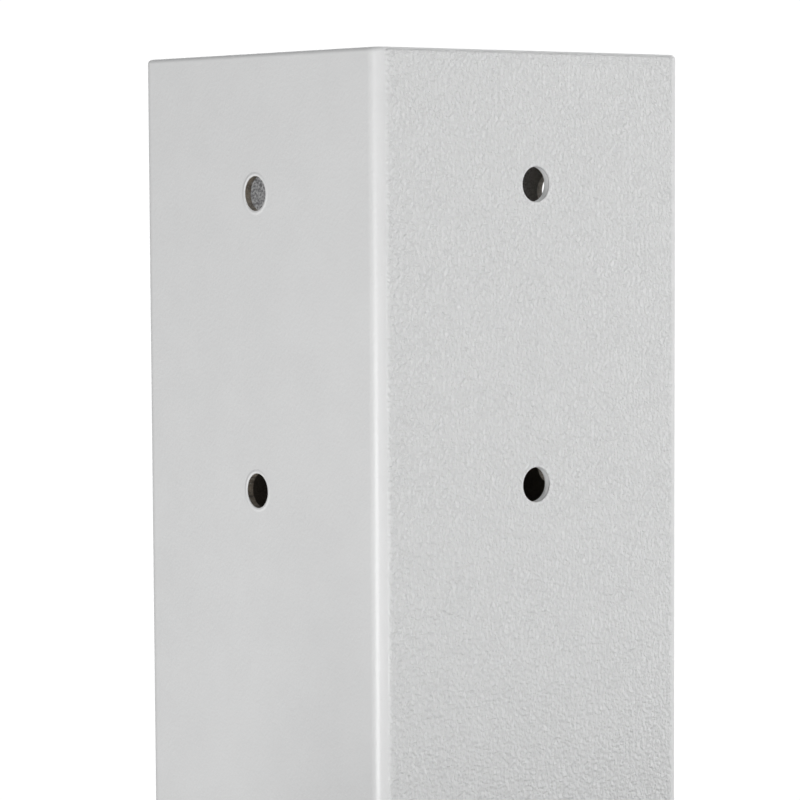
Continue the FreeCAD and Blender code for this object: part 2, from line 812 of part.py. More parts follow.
gusset = make_gusset("gusset_front")
parts.append(gusset)
for where, angle in (("right", 90), ("back", 180), ("left", 270)):
    parts.append(settled(turned_copy(gusset, "rib_" + where, angle), "gusset_" + where))

parts += [make_base_weld(), make_gusset_welds()]
parts += [make_panel(), make_face_film(), make_border_film(), make_arrow_film()]
parts += [make_edge_trim(), make_trim_joiner()]
parts.append(group("joiner_rivets", joiner_rivet_copies("joiner_rivet", JOINER_BLANK)))

fixings = {
    "bolt": make_bolt(),
    "post_pad": make_post_pad(),
    "washer": make_washer(),
    "lock_nut": make_lock_nut(),
    "nut_insert": make_nut_insert(),
}
for level in RAIL_HEIGHTS:
    parts.append(make_rail(level))
    parts.append(group(level + "_rail_rivets", rail_rivet_copies(level + "_rivet", RIVET_BLANK, (level,))))
    for side in ("left", "right"):
        parts.append(make_rail_cap(level, side))
    for name, source in fixings.items():
        link = copy_of(source, "%s_%s_link" % (level, name), z=RAIL_HEIGHTS[level])
        parts.append(settled(link, "%s_%s" % (level, name)))

# ---- check everything, then write one file for each node ----

doc.recompute()
for thing in doc.Objects:
    if "Invalid" in thing.State or "Error" in thing.State:
        raise RuntimeError("%s failed: %s" % (thing.Label, thing.State))
for part in parts:
    if part.Shape.isNull() or not part.Shape.isValid() or not part.Shape.Solids:
        raise RuntimeError(part.Label + " is not a valid solid")

os.makedirs("parts", exist_ok=True)
for part in parts:
    part.Shape.exportStep("parts/%s.step" % part.Label)
    print("%-24s %2d solid(s) %12.1f mm3" % (part.Label, len(part.Shape.Solids), part.Shape.Volume))
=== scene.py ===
import bmesh
import bpy
import json
import math
from mathutils import Matrix, Vector

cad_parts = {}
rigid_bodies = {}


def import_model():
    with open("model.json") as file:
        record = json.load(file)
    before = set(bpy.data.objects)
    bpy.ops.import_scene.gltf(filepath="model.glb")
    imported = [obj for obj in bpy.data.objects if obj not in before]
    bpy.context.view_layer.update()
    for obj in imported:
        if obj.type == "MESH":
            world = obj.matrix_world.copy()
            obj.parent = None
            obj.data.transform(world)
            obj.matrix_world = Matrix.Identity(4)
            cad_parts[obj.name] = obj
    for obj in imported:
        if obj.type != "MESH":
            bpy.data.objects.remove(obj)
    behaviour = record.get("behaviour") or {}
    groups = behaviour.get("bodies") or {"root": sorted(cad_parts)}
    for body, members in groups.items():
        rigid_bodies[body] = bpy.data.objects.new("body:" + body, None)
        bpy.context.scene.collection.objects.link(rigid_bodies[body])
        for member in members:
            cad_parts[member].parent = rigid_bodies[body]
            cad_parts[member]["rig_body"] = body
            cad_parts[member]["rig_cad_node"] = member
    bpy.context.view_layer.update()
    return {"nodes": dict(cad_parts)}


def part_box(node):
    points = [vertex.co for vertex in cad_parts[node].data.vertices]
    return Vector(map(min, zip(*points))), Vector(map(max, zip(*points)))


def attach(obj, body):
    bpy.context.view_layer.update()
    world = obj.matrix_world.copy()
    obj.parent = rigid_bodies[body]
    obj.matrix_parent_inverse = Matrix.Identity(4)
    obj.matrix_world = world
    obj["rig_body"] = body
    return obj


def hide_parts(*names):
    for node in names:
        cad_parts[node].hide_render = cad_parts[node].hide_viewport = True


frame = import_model()

bl_info = {
    "name": "Signpost",
    "version": (1, 0, 0),
    "blender": (4, 5, 0),
    "location": "3D View > Sidebar > Signpost",
    "description": "A powder coated square signpost with a framed arrow sign",
    "category": "Add Mesh",
}

# Sizes are in metres, in the part's own frame: Z up, the sign faces -Y.
POST_LOW, POST_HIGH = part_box("post_tube")
PLATE_LOW, PLATE_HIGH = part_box("base_plate")
RIM = POST_HIGH.z
PLATE_TOP = PLATE_HIGH.z
HALF_POST = POST_HIGH.x
LEVELS = ("upper", "lower")
BOLT_HEIGHTS = {level: sum(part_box(level + "_bolt")[k].z for k in (0, 1)) / 2 for level in LEVELS}
DROP = BOLT_HEIGHTS["lower"] - BOLT_HEIGHTS["upper"]
HOLE_PITCH = 0.075
FRONT_HOLES = (RIM - 0.033, RIM - 0.033 - HOLE_PITCH)
SIDE_HOLES = (RIM - 0.035, RIM - 0.035 - HOLE_PITCH)
HOLE_RADIUS = 0.00435
BOLT_RADIUS = 0.004
QUARTER = math.pi / 2


# ---- settings that a user would change ----

def length_prop(name, description, default):
    return bpy.props.FloatProperty(
        name=name, description=description, default=default, unit="LENGTH")


def angle_prop(name, description, degrees):
    return bpy.props.FloatProperty(
        name=name, description=description, default=math.radians(degrees), subtype="ANGLE")


def number_prop(name, description, default):
    return bpy.props.FloatProperty(name=name, description=description, default=default)


def color_prop(name, description, default):
    return bpy.props.FloatVectorProperty(
        name=name, description=description, default=default, size=3, subtype="COLOR")


class SignpostCoat(bpy.types.PropertyGroup):
    """The powder coat on the post and its base."""
    wall: length_prop("Tube wall", "Thickness of the tube's wall", 0.002)
    corner: length_prop("Tube corner", "Outer radius of the tube's corners", 0.004)
    rim_round: length_prop("Rim rounding", "Radius that the coat gives the cut rim", 0.0012)
    hole_round: length_prop("Hole rounding", "Radius at the edges of the drilled holes", 0.0002)
    color: color_prop("Coat", "Colour of the coat", (0.8, 0.8, 0.797))
    peel_grain: number_prop("Peel grain", "Bumps of orange peel in one metre", 1000.0)
    peel_depth: length_prop("Peel depth", "Height of the orange peel", 0.00042)
    steel: color_prop("Bare steel", "Mill scale inside the tube", (0.095, 0.08, 0.062))


class SignpostSign(bpy.types.PropertyGroup):
    """The sign's face and frame."""
    blue: color_prop("Ground", "Colour of the sign's ground", (0.012, 0.085, 0.36))
    white: color_prop("Symbol", "Colour of border and arrow", (0.82, 0.83, 0.84))
    cell: length_prop("Sheeting cell", "Width of one cell of the sheeting", 0.0032)
    metal: color_prop("Aluminium", "Colour of panel, trim and rails", (0.68, 0.69, 0.7))
    zinc: color_prop("Zinc", "Colour of the plated fixings", (0.6, 0.61, 0.6))


class SignpostStage(bpy.types.PropertyGroup):
    """Camera, floor and light."""
    lens: number_prop("Lens", "Focal length in millimetres", 136.12)
    azimuth: angle_prop("Camera azimuth", "Where the camera stands round the post", -38.88)
    distance: length_prop("Camera distance", "From the post's axis", 0.7926)
    below_rim: length_prop("Camera drop", "Camera height below the rim", 0.031)
    heading: angle_prop("Heading", "Turn of the view from +Y towards +X", 38.675)
    pitch: angle_prop("Pitch", "Tilt of the view, down is negative", -4.22)
    roll: angle_prop("Roll", "Turn of the picture", 0.287)
    floor_radius: length_prop("Floor radius", "Radius of the pale floor", 4.0)
    ambient: number_prop("Ambient", "Strength of the light from all round", 0.22)


# ---- modelling helpers ----

def settings():
    return bpy.context.scene.signpost_coat, bpy.context.scene.signpost_sign


def deselect():
    bpy.ops.object.select_all(action="DESELECT")


def activate(piece):
    """Make one piece the only selected one."""
    deselect()
    piece.select_set(True)
    bpy.context.view_layer.objects.active = piece


def named(name):
    """Name the primitive that was just added and put its place in its mesh."""
    piece = bpy.context.object
    piece.name = name
    piece.data.name = name
    bpy.ops.object.transform_apply(location=True, rotation=True, scale=True)
    return piece


def block(name, low, high):
    """A box between two corners, as a start to shape."""
    deselect()
    low, high = Vector(low), Vector(high)
    bpy.ops.mesh.primitive_cube_add(size=1, location=(low + high) / 2, scale=high - low)
    return named(name)


def drum(name, radius, start, length, axis, sides=48, fill="NGON"):
    """A cylinder from a start point along an axis, as a start to shape."""
    deselect()
    turn = {"X": (0, QUARTER, 0), "Y": (-QUARTER, 0, 0), "Z": (0, 0, 0)}[axis]
    step = {"X": Vector((1, 0, 0)), "Y": Vector((0, 1, 0)), "Z": Vector((0, 0, 1))}[axis]
    bpy.ops.mesh.primitive_cylinder_add(
        vertices=sides, radius=radius, depth=length, end_fill_type=fill,
        location=Vector(start) + step * length / 2, rotation=turn)
    return named(name)


def select_in_edit(piece, kind, test):
    """Enter edit mode with only the faces or edges that pass a test selected."""
    activate(piece)
    bpy.ops.object.mode_set(mode="EDIT")
    bpy.ops.mesh.select_mode(type=kind)
    bpy.ops.mesh.select_all(action="DESELECT")
    cage = bmesh.from_edit_mesh(piece.data)
    cage.normal_update()
    items = cage.faces if kind == "FACE" else cage.edges
    for item in items:
        if test(item):
            item.select_set(True)
    bmesh.update_edit_mesh(piece.data)


def leave_edit():
    bpy.ops.object.mode_set(mode="OBJECT")


def edit_all(piece):
    """Enter edit mode with the whole mesh selected."""
    activate(piece)
    bpy.ops.object.mode_set(mode="EDIT")
    bpy.ops.mesh.select_all(action="SELECT")


def turn_outwards(piece):
    """Make every face look outwards, after a mirror or a screw."""
    edit_all(piece)
    bpy.ops.mesh.normals_make_consistent(inside=False)
    leave_edit()


def along(axis):
    """A test for edges that run along an axis."""
    index = "XYZ".index(axis)

    def test(edge):
        run = edge.verts[0].co - edge.verts[1].co
        return run.length > 0 and abs(run[index]) > 0.999 * run.length
    return test


def at_depth(depth):
    """A test for edges that lie at one depth along Y."""
    def test(edge):
        return all(abs(v.co.y - depth) < 1e-6 for v in edge.verts)
    return test


def across_run(edge):
    """A test for edges that lie square to Y, such as the ends of a drum along Y."""
    return abs(edge.verts[0].co.y - edge.verts[1].co.y) < 1e-7


def facing(axis, sign=0):
    """A test for faces that look along an axis, one way or both."""
    index = "XYZ".index(axis)

    def test(face):
        look = face.normal[index]
        return abs(look) > 0.99 if sign == 0 else look * sign > 0.99
    return test


def round_edges(piece, test, radius, segments=6):
    """Bevel the edges that pass a test."""
    select_in_edit(piece, "EDGE", test)
    bpy.ops.mesh.bevel(
        offset=radius, offset_type="OFFSET", segments=segments, profile=0.5, affect="EDGES")
    leave_edit()


def rim_edges(way):
    """A test for the edges of a tube's cut ends, on its outside (1) or its inside (-1)."""
    def test(edge):
        ends = [face for face in edge.link_faces if abs(face.normal.z) > 0.9]
        walls = [face for face in edge.link_faces if abs(face.normal.z) < 0.1]
        if len(ends) != 1 or len(walls) != 1:
            return False
        out = walls[0].calc_center_median()
        return walls[0].normal.dot(Vector((out.x, out.y, 0))) * way > 0
    return test


def delete_faces(piece, test):
    select_in_edit(piece, "FACE", test)
    bpy.ops.mesh.delete(type="FACE")
    leave_edit()


def inset_faces(piece, test, amount, delete=False):
    """Inset the faces that pass a test, one by one, and if asked take out what is inside."""
    select_in_edit(piece, "FACE", test)
    bpy.ops.mesh.inset(thickness=amount, depth=0, use_individual=True)
    if delete:
        bpy.ops.mesh.delete(type="FACE")
    leave_edit()


def slice_off(piece, point, normal):
    """Cut away what lies beyond a plane and close the cut."""
    edit_all(piece)
    bpy.ops.mesh.bisect(plane_co=point, plane_no=normal, use_fill=True, clear_outer=True)
    leave_edit()


def modify(piece, kind, **values):
    """Add a modifier, set it and apply it."""
    activate(piece)
    modifier = piece.modifiers.new(kind.title(), kind)
    for key, value in values.items():
        setattr(modifier, key, value)
    bpy.ops.object.modifier_apply(modifier=modifier.name)


def combine(piece, other, operation="DIFFERENCE"):
    """Cut, join or intersect a piece with another one, which is used up."""
    modify(piece, "BOOLEAN", operation=operation, object=other, solver="EXACT")
    bpy.data.objects.remove(other)


def soften(piece, width, segments=3, angle=40):
    """Round every sharp edge a little."""
    modify(
        piece, "BEVEL", width=width, segments=segments, limit_method="ANGLE",
        angle_limit=math.radians(angle), use_clamp_overlap=True, harden_normals=False)


def join(pieces, name):
    """Join pieces into one object."""
    activate(pieces[0])
    for piece in pieces:
        piece.select_set(True)
    if len(pieces) > 1:
        bpy.ops.object.join()
    pieces[0].name = name
    pieces[0].data.name = name
    return pieces[0]


def copied(piece, name, move=(0, 0, 0), turn=0.0, mirror=False):
    """A copy with its own mesh, moved, turned about the post's axis or mirrored left to right."""
    other = piece.copy()
    other.data = piece.data.copy()
    other.name = name
    bpy.context.scene.collection.objects.link(other)
    matrix = Matrix.Translation(Vector(move)) @ Matrix.Rotation(turn, 4, "Z")
    if mirror:
        matrix = matrix @ Matrix.Scale(-1, 4, (1, 0, 0))
    other.data.transform(matrix)
    if mirror:
        turn_outwards(other)
    return other


def from_node(node, name):
    """A welded copy of a CAD node, to be finished by bevels."""
    source = frame["nodes"][node]
    piece = source.copy()
    piece.data = source.data.copy()
    piece.name = name
    piece.data.name = name
    piece.parent = None
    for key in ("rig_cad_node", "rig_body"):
        if key in piece:
            del piece[key]
    bpy.context.scene.collection.objects.link(piece)
    piece.data.materials.clear()
    activate(piece)
    if piece.data.has_custom_normals:
        bpy.ops.mesh.customdata_custom_splitnormals_clear()
    edit_all(piece)
    bpy.ops.mesh.remove_doubles(threshold=0.00001)
    bpy.ops.mesh.dissolve_limited(angle_limit=math.radians(1))
    leave_edit()
    return piece


def finish_piece(piece, slot, looks, *nodes, crease=35):
    """Smooth a piece but keep its flats, give it its materials and body, and hide the CAD nodes it
    replaces; the slot is not used.
    """
    activate(piece)
    bpy.ops.object.shade_smooth_by_angle(angle=math.radians(crease))
    modify(piece, "WEIGHTED_NORMAL", mode="FACE_AREA", weight=50, keep_sharp=True)
    for name in looks.split():
        piece.data.materials.append(bpy.data.materials[name])
    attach(piece, "root")
    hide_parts(*nodes)


# ---- material helpers ----

class Tree:
    """Short ways to place and wire shader nodes."""

    def __init__(self, tree):
        self.tree = tree

    def feed(self, node, inputs):
        """Wire the inputs that are given as sockets and set the others."""
        for key, value in inputs.items():
            if isinstance(value, bpy.types.NodeSocket):
                self.tree.links.new(value, node.inputs[key])
            else:
                node.inputs[key].default_value = value

    def add(self, kind, inputs=None, **values):
        node = self.tree.nodes.new(kind)
        for key, value in values.items():
            setattr(node, key, value)
        self.feed(node, inputs or {})
        return node

    def math(self, operation, first, second=0.0, third=0.0, clamp=False):
        node = self.add("ShaderNodeMath", {0: first, 1: second, 2: third}, operation=operation)
        node.use_clamp = clamp
        return node.outputs[0]

    def times(self, first, second):
        return self.math("MULTIPLY", first, second)

    def split(self, vector):
        return self.add("ShaderNodeSeparateXYZ", {"Vector": vector}).outputs

    def noise(self, vector, scale, detail=2.0, rough=0.5, distortion=0.0):
        node = self.add("ShaderNodeTexNoise", {
            "Vector": vector, "Scale": scale, "Detail": detail, "Roughness": rough,
            "Distortion": distortion})
        return node.outputs["Fac"]

    def spread(self, value, low, high, to_low=0.0, to_high=1.0):
        """Map a range onto another, held at its ends."""
        node = self.add("ShaderNodeMapRange", {
            "Value": value, "From Min": low, "From Max": high, "To Min": to_low, "To Max": to_high})
        return node.outputs["Result"]

    def mix(self, factor, first, second):
        node = self.add("ShaderNodeMix", data_type="RGBA")
        self.feed(node, {0: factor, 6: first, 7: second})
        return node.outputs[2]

    def stretch(self, vector, scale):
        return self.add("ShaderNodeMapping", {"Vector": vector, "Scale": scale}).outputs["Vector"]

    def bump(self, height, distance, strength=1.0):
        inputs = {"Height": height, "Distance": distance, "Strength": strength}
        return self.add("ShaderNodeBump", inputs).outputs["Normal"]


def rgba(color, gain=1.0):
    """A colour with alpha, made lighter or darker."""
    return tuple(min(1.0, channel * gain) for channel in color) + (1.0,)


def new_group(name, inputs, *outputs):
    """A shader node group on a vector, with named number inputs and their defaults, and outputs."""
    tree = bpy.data.node_groups.new(name, "ShaderNodeTree")
    tree.interface.new_socket("Vector", in_out="INPUT", socket_type="NodeSocketVector")
    for label, default in inputs.items():
        socket = tree.interface.new_socket(label, in_out="INPUT", socket_type="NodeSocketFloat")
        socket.default_value = default
    for label in outputs:
        tree.interface.new_socket(label, in_out="OUTPUT", socket_type="NodeSocketFloat")
    w = Tree(tree)
    return w, w.add("NodeGroupInput").outputs, w.add("NodeGroupOutput")


def group_orange_peel():
    """Cured powder: rounded pebbles, finer grain between them and slow waves under both."""
    w, given, out = new_group("orange_peel", {"Grain": 620.0}, "Height", "Tone")
    place, grain = given["Vector"], given["Grain"]
    pebbles = w.noise(place, grain, 1.5, 0.45, 0.25)
    fine = w.noise(place, w.times(grain, 2.6), 1.0, 0.5)
    waves = w.noise(place, w.times(grain, 0.09), 2.0, 0.5)
    height = w.math("MULTIPLY_ADD", fine, 0.12, w.spread(pebbles, 0.3, 0.72))
    height = w.math("MULTIPLY_ADD", waves, 1.2, height)
    w.feed(out, {"Height": height, "Tone": w.spread(waves, 0.35, 0.65)})
    return w.tree


def group_hole_edge():
    """A ring round a drilled hole: 1 at a radius from its middle, less on both sides of it."""
    w, given, out = new_group(
        "hole_edge", {"Turned": 0.0, "Height": 0.0, "Radius": 0.004, "Width": 0.001}, "Ring")
    spots = w.split(given["Vector"])
    # Turned is 0 for a hole drilled along Y and 1 for one along X.
    swing = w.math("SUBTRACT", spots["Y"], spots["X"])
    across = w.math("MULTIPLY_ADD", swing, given["Turned"], spots["X"])
    rise = w.math("SUBTRACT", spots["Z"], given["Height"])
    far = w.math("POWER", w.math("MULTIPLY_ADD", across, across, w.times(rise, rise)), 0.5)
    outside = w.math("DIVIDE", w.math("SUBTRACT", far, given["Radius"]), given["Width"])
    ring = w.math("SUBTRACT", 1.0, w.math("ABSOLUTE", outside), clamp=True)
    soft_top = 0.1
    w.feed(out, {"Ring": w.math("SMOOTH_MIN", ring, 1.0, soft_top)})
    return w.tree


def group_drawn_metal():
    """Die lines or rolling marks along the stretched direction, with stains."""
    w, given, out = new_group("drawn_metal", {"Lines": 900.0}, "Height", "Tone", "Stain")
    place, lines = given["Vector"], given["Lines"]
    fine = w.noise(place, lines, 3.0, 0.6)
    broad = w.noise(place, w.times(lines, 0.12), 2.0, 0.5)
    stain = w.noise(place, w.times(lines, 0.015), 4.0, 0.6, 0.6)
    w.feed(out, {
        "Height": w.math("MULTIPLY_ADD", broad, 0.6, fine),
        "Tone": w.spread(w.math("MULTIPLY_ADD", broad, 0.5, fine), 0.45, 1.05),
        "Stain": w.spread(stain, 0.45, 0.7)})
    return w.tree


def group_sheeting():
    """Reflective sheeting seen close: packed cells with raised seams and a faint painted glint, a
    lighter colour in some cells.
    """
    w, given, out = new_group("sheeting_cells", {"Cells": 300.0}, "Seam", "Sparkle")
    packing = {"Vector": given["Vector"], "Scale": given["Cells"], "Randomness": 0.06}
    cell = w.add("ShaderNodeTexVoronoi", packing, feature="DISTANCE_TO_EDGE")
    tint = w.add("ShaderNodeTexVoronoi", packing, feature="F1")
    shade = w.add("ShaderNodeSeparateColor", {"Color": tint.outputs["Color"]})
    w.feed(out, {
        "Seam": w.spread(cell.outputs["Distance"], 0.03, 0.1, 1.0, 0.0),
        "Sparkle": shade.outputs[0]})
    return w.tree


def group_road_dust():
    """Dust and splash that settles low on the post and in patches."""
    w, given, out = new_group("road_dust", {"Reach": 0.35}, "Dust")
    place = given["Vector"]
    low = w.math("SUBTRACT", 1.0, w.math("DIVIDE", w.split(place)["Z"], given["Reach"]), clamp=True)
    patches = w.noise(place, 14.0, 6.0, 0.65)
    specks = w.noise(place, 420.0, 2.0, 0.7)
    cover = w.times(w.times(low, low), w.spread(patches, 0.35, 0.7))
    dots = w.times(low, w.spread(specks, 0.66, 0.74))
    w.feed(out, {"Dust": w.math("MULTIPLY_ADD", dots, 0.35, cover, clamp=True)})
    return w.tree


def material(name):
    """An empty material with a Principled shader and the object's own coordinates."""
    made = bpy.data.materials.new(name)
    if made.name != name:
        raise RuntimeError("the material name %s is taken" % name)
    made.use_nodes = True
    made.node_tree.nodes.clear()
    w = Tree(made.node_tree)
    shader = w.add("ShaderNodeBsdfPrincipled")
    output = w.add("ShaderNodeOutputMaterial")
    made.node_tree.links.new(shader.outputs[0], output.inputs["Surface"])
    place = w.add("ShaderNodeTexCoord").outputs["Object"]
    return w, shader, place


def feed(w, shader, **sockets):
    """Wire or set sockets of the shader, with spaces for underscores."""
    w.feed(shader, {key.replace("_", " "): value for key, value in sockets.items()})


def use_group(w, tree, **inputs):
    """Place a node group and give it its inputs."""
    node = w.add("ShaderNodeGroup", node_tree=tree)
    feed(w, node, **inputs)
    return node.outputs


def material_coat(groups, name="powder_coat", holes=True):
    """Light grey powder coat: orange peel, thick edges round the holes lightened as a painted
    highlight, road dust low down.
    """
    coat, _ = settings()
    w, shader, place = material(name)
    peel = use_group(w, groups["peel"], Vector=place, Grain=coat.peel_grain)
    dust = use_group(w, groups["dust"], Vector=place)["Dust"]
    spots = w.split(place)
    # On the post the peel is strong on the front and faint elsewhere, on the base it is even.
    thick = 0.3
    if holes:
        thick = w.spread(spots["Y"], -HALF_POST + 0.00002, -HALF_POST + 0.0003, 1.0, 0.07)
    height = w.times(peel["Height"], thick)
    tone = w.mix(peel["Tone"], rgba(coat.color, 0.992), rgba(coat.color, 1.008))
    speck = w.spread(w.noise(place, 1500.0, 1.0), 0.7, 0.78)
    tone = w.mix(w.times(speck, 0.2), tone, rgba(coat.color, 0.8))
    if holes:
        ring = 0.0
        for turned, heights in enumerate((FRONT_HOLES, SIDE_HOLES)):
            for level in heights:
                part = use_group(
                    w, groups["edge"], Vector=place, Turned=turned, Height=level,
                    Radius=HOLE_RADIUS + 0.0005, Width=0.0006)["Ring"]
                ring = w.math("MAXIMUM", part, ring)
        # The ring round each hole is the coat's thick edge: a real bump, and a lighter tone there
        # that is a painted highlight.
        height = w.math("MULTIPLY_ADD", ring, 0.45, height)
        tone = w.mix(w.times(ring, 0.55), tone, rgba(coat.color, 1.12))
    tone = w.mix(w.times(dust, 0.55), tone, (0.33, 0.29, 0.235, 1))
    rough = w.spread(peel["Tone"], 0.0, 1.0, 0.36, 0.42)
    rough = w.math("MULTIPLY_ADD", dust, 0.35, rough)
    feed(w, shader, Base_Color=tone, Roughness=rough, Normal=w.bump(height, coat.peel_depth, 1.0))
    feed(w, shader, Specular_IOR_Level=0.75, Coat_Weight=0.25, Coat_Roughness=0.22)


def material_tube_inside():
    """Bare mill scale inside the tube, grey with overspray near the mouth and holes; that grey is
    also painted light, lighter towards the rim and only on the back half, where light through the
    open top falls.
    """
    coat, _ = settings()
    w, shader, place = material("tube_inside")
    spots = w.split(place)
    depth = w.math("SUBTRACT", RIM, spots["Z"])
    grain = w.noise(place, 1400.0, 3.0, 0.7)
    cloud = w.noise(place, 60.0, 4.0, 0.6)
    scale = w.mix(w.spread(cloud, 0.35, 0.7), rgba(coat.steel, 0.7), rgba(coat.steel, 1.6))
    # Painted light as well as overspray: the grey fades with depth below the rim and is kept to the
    # back half, where light through the open top falls.
    reach = w.spread(w.math("MULTIPLY_ADD", cloud, 0.02, depth), 0.05, 0.085, 1.0, 0.0)
    back = w.spread(spots["Y"], 0.0, 0.04)
    powder = w.times(w.times(reach, back), w.spread(grain, 0.25, 0.6, 0.55, 1.0))
    speckle = w.mix(w.spread(grain, 0.4, 0.6), (0.45, 0.45, 0.48, 1), (1, 1, 1, 1))
    tone = w.mix(powder, scale, speckle)
    feed(w, shader, Base_Color=tone, Roughness=w.spread(grain, 0.3, 0.7, 0.45, 0.85))
    feed(w, shader, Metallic=0.0, Normal=w.bump(grain, 0.00025, 0.8))


def material_hole_wall():
    """The drilled walls of the holes: dark cut steel with crumbs of powder, which also stands for
    painted shade in the bores away from the light.
    """
    coat, _ = settings()
    w, shader, place = material("hole_wall")
    crumbs = w.noise(place, 1900.0, 3.0, 0.65)
    rings = w.noise(w.stretch(place, (0.4, 0.4, 1)), 900.0, 2.0, 0.6)
    tone = w.mix(w.spread(rings, 0.35, 0.65), rgba(coat.steel, 0.9), rgba(coat.steel, 2.2))
    # Painted shade: the powder crumbs take the coat's colour at 0.4, as coat lying in shade in the
    # bore.
    tone = w.mix(w.spread(crumbs, 0.56, 0.66, 0.0, 0.5), tone, rgba(coat.color, 0.4))
    feed(w, shader, Base_Color=tone, Roughness=w.spread(crumbs, 0.35, 0.65, 0.45, 0.8))
    feed(w, shader, Normal=w.bump(crumbs, 0.0003, 0.9))


def material_drawn(groups, name, color, lines, squeeze, rough, stain_gain, depth):
    """Metal with marks drawn out along one direction."""
    w, shader, place = material(name)
    marks = use_group(w, groups["drawn"], Vector=w.stretch(place, squeeze), Lines=lines)
    tone = w.mix(marks["Tone"], rgba(color, 0.86), rgba(color, 1.08))
    tone = w.mix(w.times(marks["Stain"], 0.35), tone, rgba(color, stain_gain))
    shine = w.spread(marks["Tone"], 0, 1, rough - 0.06, rough + 0.08)
    shine = w.math("MULTIPLY_ADD", marks["Stain"], 0.12, shine)
    feed(w, shader, Base_Color=tone, Roughness=shine, Metallic=1.0)
    feed(w, shader, Normal=w.bump(marks["Height"], depth, 0.8))


def material_sheeting(groups, name, color):
    """Glossy reflective sheeting with its cells showing through."""
    _, sign = settings()
    w, shader, place = material(name)
    flat = w.stretch(place, (1, 0, 1))
    cells = use_group(w, groups["sheeting"], Vector=flat, Cells=1.0 / sign.cell)
    clouds = w.noise(place, 9.0, 4.0, 0.55)
    tone = w.mix(w.spread(clouds, 0.35, 0.65), rgba(color, 0.94), rgba(color, 1.05))
    # Painted glint: some cells are made lighter in colour, standing in for the sheeting's sparkle.
    tone = w.mix(w.times(cells["Sparkle"], 0.22), tone, rgba(color, 1.35))
    tone = w.mix(w.times(cells["Seam"], 0.3), tone, rgba(color, 0.72))
    ripple = w.noise(place, 55.0, 2.0, 0.5)
    height = w.math("MULTIPLY_ADD", ripple, 1.4, w.times(cells["Seam"], 0.35))
    feed(w, shader, Base_Color=tone, Roughness=w.spread(clouds, 0.3, 0.7, 0.24, 0.34))
    feed(w, shader, Normal=w.bump(height, 0.00005, 0.7), Coat_Weight=0.3, Coat_Roughness=0.18)


def material_moulded(name, color, grain, rough, depth):
    """Moulded plastic or rubber with a fine grain and a slightly worn tone."""
    w, shader, place = material(name)
    fine = w.noise(place, grain, 3.0, 0.65)
    clouds = w.noise(place, grain * 0.04, 3.0, 0.6)
    tone = w.mix(w.spread(clouds, 0.35, 0.7), rgba(color, 0.85), rgba(color, 1.35))
    tone = w.mix(w.spread(fine, 0.62, 0.75, 0.0, 0.4), tone, rgba(color, 1.9))
    feed(w, shader, Base_Color=tone, Roughness=w.spread(fine, 0.3, 0.7, rough - 0.1, rough + 0.12))
    feed(w, shader, Normal=w.bump(fine, depth, 0.8))


# ---- operators, one for each piece or group of like pieces ----

class SIGNPOST_OT_materials(bpy.types.Operator):
    """Make the coats, metals, sheeting and plastics"""
    bl_idname = "signpost.materials"
    bl_label = "Materials"

    def execute(self, context):
        sign = context.scene.signpost_sign
        groups = {
            "peel": group_orange_peel(),
            "edge": group_hole_edge(),
            "drawn": group_drawn_metal(),
            "sheeting": group_sheeting(),
            "dust": group_road_dust(),
        }
        material_coat(groups)
        material_coat(groups, "powder_coat_base", holes=False)
        material_tube_inside()
        material_hole_wall()
        duller, brighter = rgba(sign.metal, 0.93), rgba(sign.metal, 1.08)
        for name, color, lines, squeeze, rough, stain_gain, depth in (
                ("panel_mill", sign.metal, 1400.0, (1, 1, 0.03), 0.42, 0.75, 0.00002),
                ("trim_satin", sign.metal, 2600.0, (0.3, 1, 0.3), 0.3, 0.75, 0.00001),
                ("rail_extruded", duller[:3], 1800.0, (0.04, 1, 1), 0.33, 0.75, 0.00002),
                ("rivet_bright", brighter[:3], 2200.0, (1, 0.3, 1), 0.27, 0.75, 0.00002),
                ("zinc_plate", sign.zinc, 1600.0, (1, 0.5, 1), 0.34, 0.6, 0.00002)):
            material_drawn(groups, name, color, lines, squeeze, rough, stain_gain, depth)
        material_sheeting(groups, "sheeting_ground", sign.blue)
        material_sheeting(groups, "sheeting_symbol", sign.white)
        material_moulded("cap_plastic", (0.02, 0.02, 0.022), 2600.0, 0.5, 0.00004)
        material_moulded("rubber_sheet", (0.018, 0.018, 0.019), 3600.0, 0.72, 0.00006)
        material_moulded("nut_nylon", (0.62, 0.66, 0.6), 1800.0, 0.42, 0.00002)
        return {"FINISHED"}


